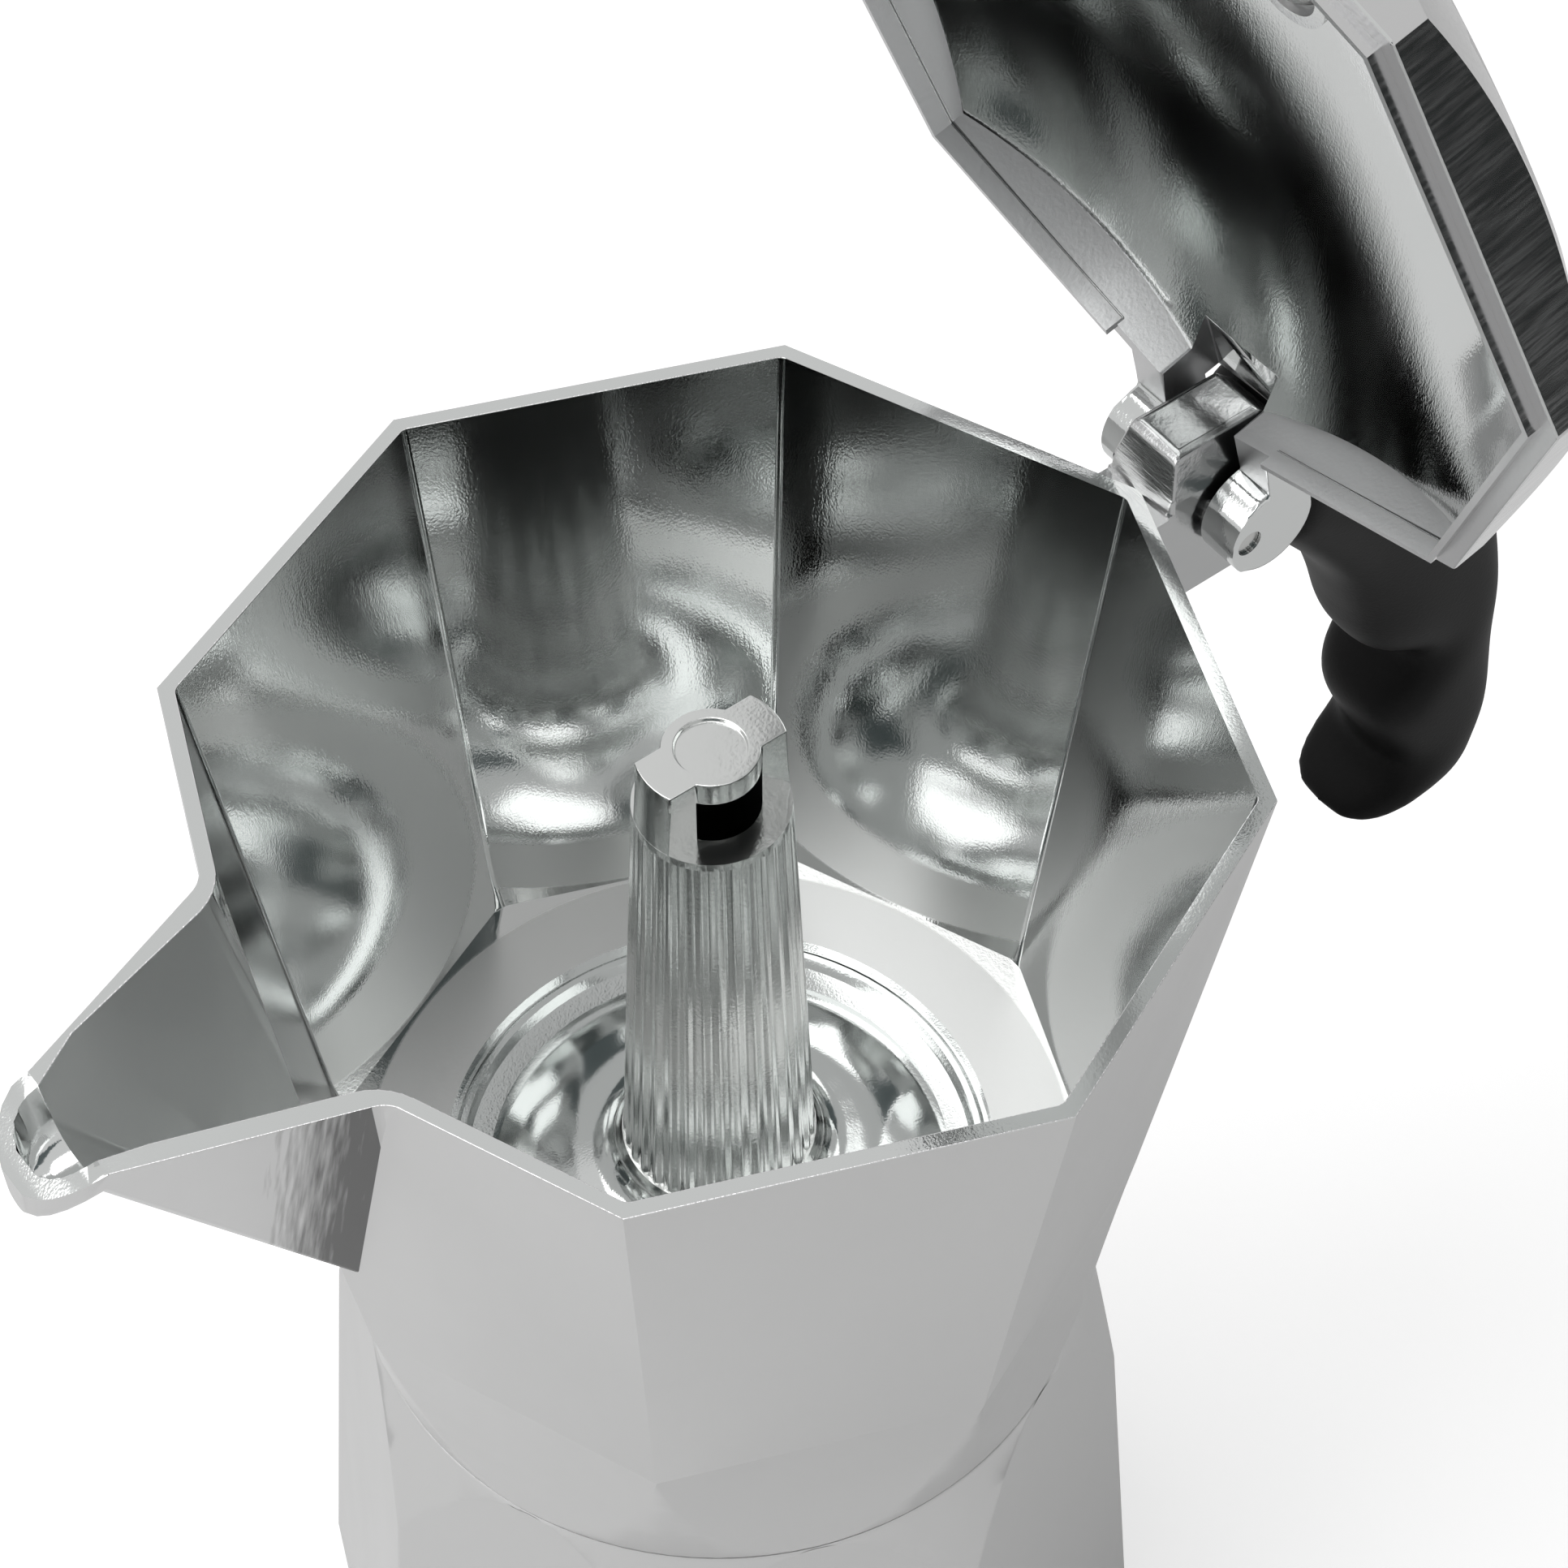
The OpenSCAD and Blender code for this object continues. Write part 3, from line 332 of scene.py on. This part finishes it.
# The column as it leaves the die
raw_casting, tree, skin, place = metal("raw_casting", (0.70, 0.71, 0.70), 0.16)
grain = stretched(tree, place, (0.00035, 0.00035, 0.0005), detail=2)
lumps = stretched(tree, place, (0.0022, 0.0022, 0.008), detail=2)
normal = raised(tree, lumps, 0.00003)
normal = raised(tree, grain, 0.000014, normal)
tree.links.new(normal, skin.inputs["Normal"])

# The floor round the dish: turned satin, with its eight corners left bright
satin_ring, tree, skin, place = metal("satin_ring", (0.66, 0.66, 0.655), 0.32)
grain = stretched(tree, place, (0.0004, 0.0004, 0.0004), detail=3)
tree.links.new(raised(tree, grain, 0.000006), skin.inputs["Normal"])
flat_way = tree.nodes.new("ShaderNodeVectorMath")
flat_way.operation = "MULTIPLY"
flat_way.inputs[1].default_value = (1, 1, 0)
tree.links.new(place, flat_way.inputs[0])
from_axis = tree.nodes.new("ShaderNodeVectorMath")
from_axis.operation = "LENGTH"
tree.links.new(flat_way.outputs[0], from_axis.inputs[0])
blend = 0.0002
tree.links.new(ranged(tree, from_axis.outputs["Value"], ring_edge - blend, ring_edge + blend,
                      0.34, 0.08), skin.inputs["Roughness"])

# The block of the hinge: lines of the file on its front, folds of the die elsewhere
front_lines, tree, skin, place = metal("front_lines", (0.62, 0.62, 0.62), 0.22)
lines = stretched(tree, place, (0.0003, 0.02, 0.0003), turn=(0, 0, 0.12), detail=2)
tree.links.new(raised(tree, lines, 0.00004), skin.inputs["Normal"])

hinge_casting, tree, skin, place = metal("hinge_casting", (0.46, 0.465, 0.465), 0.19)
folds = stretched(tree, place, (0.004, 0.004, 0.004), detail=1)
grain = stretched(tree, place, (0.0005, 0.0005, 0.0005), detail=2)
normal = raised(tree, folds, 0.00016)
normal = raised(tree, grain, 0.00002, normal)
tree.links.new(normal, skin.inputs["Normal"])

# Inside the spout the casting is dull and uneven
spout_inside, tree, skin, place = metal("spout_inside", (0.93, 0.94, 0.935), 0.36)
swell = stretched(tree, place, (0.006, 0.006, 0.012), detail=2)
grain = stretched(tree, place, (0.0003, 0.0003, 0.0006), detail=2)
normal = raised(tree, swell, 0.00012)
normal = raised(tree, grain, 0.000005, normal)
tree.links.new(normal, skin.inputs["Normal"])

# Painted shade in the corner between spout and flat: the base colour goes dark towards the
# spout's root, with upright scratches that also rag the edge of the shade
spout_side_painted_shade, tree, skin, place = metal("spout_side_painted_shade", (0.62, 0.62, 0.618), 0.32)
mirrored_half = tree.nodes.new("ShaderNodeVectorMath")
mirrored_half.operation = "ABSOLUTE"
tree.links.new(place, mirrored_half.inputs[0])
from_flat = tree.nodes.new("ShaderNodeVectorMath")
from_flat.operation = "DOT_PRODUCT"
from_flat.inputs[1].default_value = (math.cos(eighth), math.sin(eighth), -flat_lean)
tree.links.new(mirrored_half.outputs[0], from_flat.inputs[0])
height = tree.nodes.new("ShaderNodeSeparateXYZ")
tree.links.new(place, height.inputs[0])
beside_flat = tree.nodes.new("ShaderNodeCombineXYZ")
tree.links.new(from_flat.outputs["Value"], beside_flat.inputs["X"])
tree.links.new(height.outputs["Z"], beside_flat.inputs["Y"])
scratch = stretched(tree, beside_flat.outputs[0], (0.0004, 0.012, 1), detail=3)
tree.links.new(raised(tree, scratch, 0.000006), skin.inputs["Normal"])
ragged = tree.nodes.new("ShaderNodeMath")
ragged.operation = "MULTIPLY_ADD"
ragged.inputs[1].default_value = 0.009
tree.links.new(scratch, ragged.inputs[0])
tree.links.new(from_flat.outputs["Value"], ragged.inputs[2])
tree.links.new(ranged(tree, ragged.outputs[0], painted_shade_darkest, painted_shade_gone, 0.1, 0.62),
               skin.inputs["Base Color"])


def on_rim(e):
    return all(abs(v.co.z - rim_z) < 4e-5 and v.co.x < 0.05 and
               math.hypot(v.co.x, v.co.y) > rim_least_r for v in e.verts)


def inner_corner(e):
    a, b = e.verts[0].co, e.verts[1].co
    return (abs(a.z - b.z) > 0.015 and min(a.z, b.z) > floor_z - 0.001 and
            all(rim_least_r < math.hypot(v.x, v.y) < wall_most_r and v.x > -0.04
                for v in (a, b)))


def block_edge(e):
    return all(v.co.x > block_x and abs(v.co.y) < block_half and v.co.z > rim_z + 0.0005
               for v in e.verts)


def cap_edge(e):
    return all(math.hypot(v.co.x, v.co.y) < cap_r and v.co.z > cap_z for v in e.verts)


collector = softened("collector", [(inner_corner, 0.0005, 3), (on_rim, 0.00012, 2),
                                   (block_edge, 0.00035, 2), (cap_edge, 0.00018, 2)])


def collector_finish(c, n):
    """What a face of the collector is finished with, from its middle and its normal."""
    away = math.hypot(c.x, c.y)
    faces_in = n.x * c.x + n.y * c.y < 0
    if abs(c.z - rim_z) < 5e-5 and n.z > 0.9 and away > rim_least_r:
        return ground_rim
    if away < column_reach and c.z > floor_z + 0.004:
        return raw_casting
    if c.x > block_x - 0.0005 and abs(c.y) < block_half and c.z > rim_z - 0.016:
        return front_lines if n.x < -0.8 else hinge_casting
    if abs(c.z - floor_z) < 5e-5 and n.z > 0.9:
        return satin_ring
    if c.z > floor_z - 0.003 and (faces_in or n.z > 0.3 or away < rim_least_r):
        return spout_inside if lip_x < c.x < spout_x else polished
    # The spout's sides, with painted shade near their root
    if c.x < spout_x - 0.002 and abs(n.y) > 0.5 and c.z > 0.11:
        return spout_side_painted_shade
    return ground_flats


def finished_by_face(piece, finishes, choose):
    for finish in finishes:
        piece.data.materials.append(finish)
    for face in piece.data.polygons:
        face.material_index = finishes.index(choose(face.center, face.normal))


finished_by_face(collector, [ground_flats, polished, ground_rim, raw_casting, satin_ring,
                             hinge_casting, front_lines, spout_inside, spout_side_painted_shade],
                 collector_finish)
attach(collector, "collector_unit")
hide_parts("collector")

# ------------------------------------------------------------------ handle
# Black heat-resistant plastic, moulded with grooves for the fingers and pinned on the
# collector's tongue.
plastic, tree, skin, place = metal("black_plastic", (0.005, 0.005, 0.0051), 0.5, 0)
grain = stretched(tree, place, (0.0004, 0.0004, 0.0004), detail=2)
tree.links.new(raised(tree, grain, 0.00002), skin.inputs["Normal"])
skin.inputs["Specular IOR Level"].default_value = 0.13
grip = bpy.data.objects.new("grip", nodes["handle"].data.copy())
scene.collection.objects.link(grip)
skin_over = grip.modifiers.new("skin_over", "REMESH")
skin_over.mode = "VOXEL"
skin_over.voxel_size = 0.0007
skin_over.use_smooth_shade = True
ease = grip.modifiers.new("ease", "CORRECTIVE_SMOOTH")
ease.factor = 0.8
ease.iterations = 14
ease.use_only_smooth = True
whole = bpy.data.meshes.new_from_object(
    grip.evaluated_get(bpy.context.evaluated_depsgraph_get()))
grip.modifiers.clear()
grip.data = whole
grip.data.materials.clear()
grip.data.materials.append(plastic)
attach(grip, "collector_unit")
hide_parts("handle")
finished_with(steel, "handle_pin")

# ------------------------------------------------------------------ lid
# A cast aluminium dome on an octagonal band, bright inside. Two ears turn on the hinge pin
# either side of the collector's block.
hinge = Vector((0.0623, 0, 0.1707))
tilt = math.radians(75)
to_open = Matrix.Translation(hinge) @ Matrix.Rotation(tilt, 4, "Y") @ Matrix.Translation(-hinge)
to_shut = to_open.inverted()
dome_r = 0.085
dome_z = rim_z + 0.0218 - dome_r
wall_r = 0.0534         # corners of the band, inside
band_r = 0.0557         # and outside
ear_in = 0.0056
ear_out = 0.0107
hood_x = 0.0505         # the way for the block starts here
bit = 0.00001           # so that no two faces of a cut lie on each other

# The band inside is satin with a speckle; the outside is brushed towards the knob
satin_wall, tree, skin, place = metal("satin_wall", (0.62, 0.62, 0.625), 0.36)
speckle = stretched(tree, place, (0.0005, 0.0005, 0.0005), detail=3)
tree.links.new(raised(tree, speckle, 0.00002), skin.inputs["Normal"])
brushed_lid, tree, skin, place = metal("brushed_lid", (0.60, 0.60, 0.60), 0.2)
brush = stretched(tree, place, (0.0005, 0.0005, 0.006), turn=(0, tilt, 0), detail=2)
tree.links.new(raised(tree, brush, 0.000008), skin.inputs["Normal"])
tree.links.new(ranged(tree, brush, 0.35, 0.65, 0.12, 0.2), skin.inputs["Roughness"])


def ear_root(side):
    """The room inside the band where the root of an ear stands in, up to the dome."""
    across, along = 10, 8
    near = 0.045
    form = bmesh.new()
    low, high = [], []
    for i in range(across + 1):
        y = ear_in + (ear_out - ear_in) * i / across
        far = (wall_r * math.cos(eighth) - y * math.sin(eighth)) / math.cos(eighth) + bit
        for j in range(along + 1):
            x = near + (far - near) * j / along
            top = dome_z + math.sqrt(dome_r ** 2 - x * x - y * y) + 3 * bit
            low.append(form.verts.new((x, side * y, rim_z + 20 * bit)))
            high.append(form.verts.new((x, side * y, top)))
    row = along + 1
    for i in range(across):
        for j in range(along):
            k = i * row + j
            for layer in (low, high):
                form.faces.new([layer[k], layer[k + row], layer[k + row + 1], layer[k + 1]])
    ring = ([i * row for i in range(across)] + [across * row + j for j in range(along)] +
            [i * row + along for i in range(across, 0, -1)] + list(range(along, 0, -1)))
    for k, here in enumerate(ring):
        there = ring[(k + 1) % len(ring)]
        form.faces.new([low[here], low[there], high[there], high[here]])
    bmesh.ops.recalc_face_normals(form, faces=form.faces)
    mesh = bpy.data.meshes.new("ear_root")
    form.to_mesh(mesh)
    form.free()
    mesh.transform(to_open)
    return bpy.data.objects.new("ear_root", mesh)


sealed = bmesh.new()
sealed.from_mesh(nodes["lid"].data)
bmesh.ops.remove_doubles(sealed, verts=sealed.verts, dist=2e-6)
sealed_lid = bpy.data.meshes.new("sealed_lid")
sealed.to_mesh(sealed_lid)
sealed.free()
cut = bpy.data.objects.new("lid_cut", sealed_lid)
roots = [ear_root(side) for side in (1, -1)]
for tool in [cut] + roots:
    scene.collection.objects.link(tool)
for root in roots:
    bite = cut.modifiers.new("bite", "BOOLEAN")
    bite.operation = "DIFFERENCE"
    bite.solver = "EXACT"
    bite.object = root
cleared = bpy.data.meshes.new_from_object(
    cut.evaluated_get(bpy.context.evaluated_depsgraph_get()))
for tool in roots + [cut]:
    bpy.data.objects.remove(tool)


def ear_border(e):
    """The round border of an ear's outer side, but not that of the pin's bore."""
    ends = [to_shut @ v.co for v in e.verts]
    return all(abs(v.y) > ear_out - 0.0004 and v.x > 0.0572 and
               math.hypot(v.x - hinge.x, v.z - hinge.z) > 0.004 for v in ends)


def lid_edge(e):
    """A long edge, but not the inner border of the band nor the line where the root was."""
    ends = [to_shut @ v.co for v in e.verts]
    return long_edge(e, 0.003) and not all(
        v.z < rim_z + 0.0012 and math.hypot(v.x, v.y) < wall_r + 0.0004 or
        abs(abs(v.y) - ear_out) < 0.0003 and v.x < wall_r for v in ends)


def lid_finish(c, n):
    """What a face of the lid is finished with, judged with the lid shut."""
    c, n = to_shut @ c, to_shut.to_3x3() @ n
    away = math.hypot(c.x, c.y)
    faces_in = c.x * n.x + c.y * n.y < 0
    band_end = c.z < rim_z + 0.001 and n.z < -0.9
    if away < band_r + 0.0003 and (band_end or faces_in and abs(n.z) < 0.3):
        return satin_wall
    if c.x > hood_x and abs(c.y) < ear_in + 0.0001:
        return hinge_casting if n.y > 0.5 else satin_wall
    dome = away < band_r - 0.0002 and n.z < -0.3
    ear = c.x > 0.057 and 0.0045 < abs(c.y) < ear_out + 0.0003
    return polished if dome or ear else brushed_lid


lid = softened("lid", [(ear_border, 0.0006, 3), (lid_edge, 0.0003, 2)], cleared)
finished_by_face(lid, [polished, satin_wall, brushed_lid, hinge_casting], lid_finish)

# The shine of the dome's hollow follows its true sphere, also beside the cut
bright = list(lid.data.materials).index(polished)
dome_centre = to_open @ Vector((0, 0, dome_z))
facing = [Vector(corner.vector) for corner in lid.data.corner_normals]
for face in lid.data.polygons:
    for k in face.loop_indices:
        inward = dome_centre - lid.data.vertices[lid.data.loops[k].vertex_index].co
        if face.material_index == bright and abs(inward.length - dome_r) < 8 * bit:
            facing[k] = inward.normalized()
lid.data.normals_split_custom_set(facing)
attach(lid, "lid_unit")
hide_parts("lid")
finished_with(steel, "hinge_pin")

# ------------------------------------------------------------------ knob
# The same black plastic, eight-sided, moulded round a brass insert. A steel screw
# comes up through the lid and holds it.
finished_with(plastic, "knob")
finished_with(brass, "knob_insert")
finished_with(steel, "knob_screw")
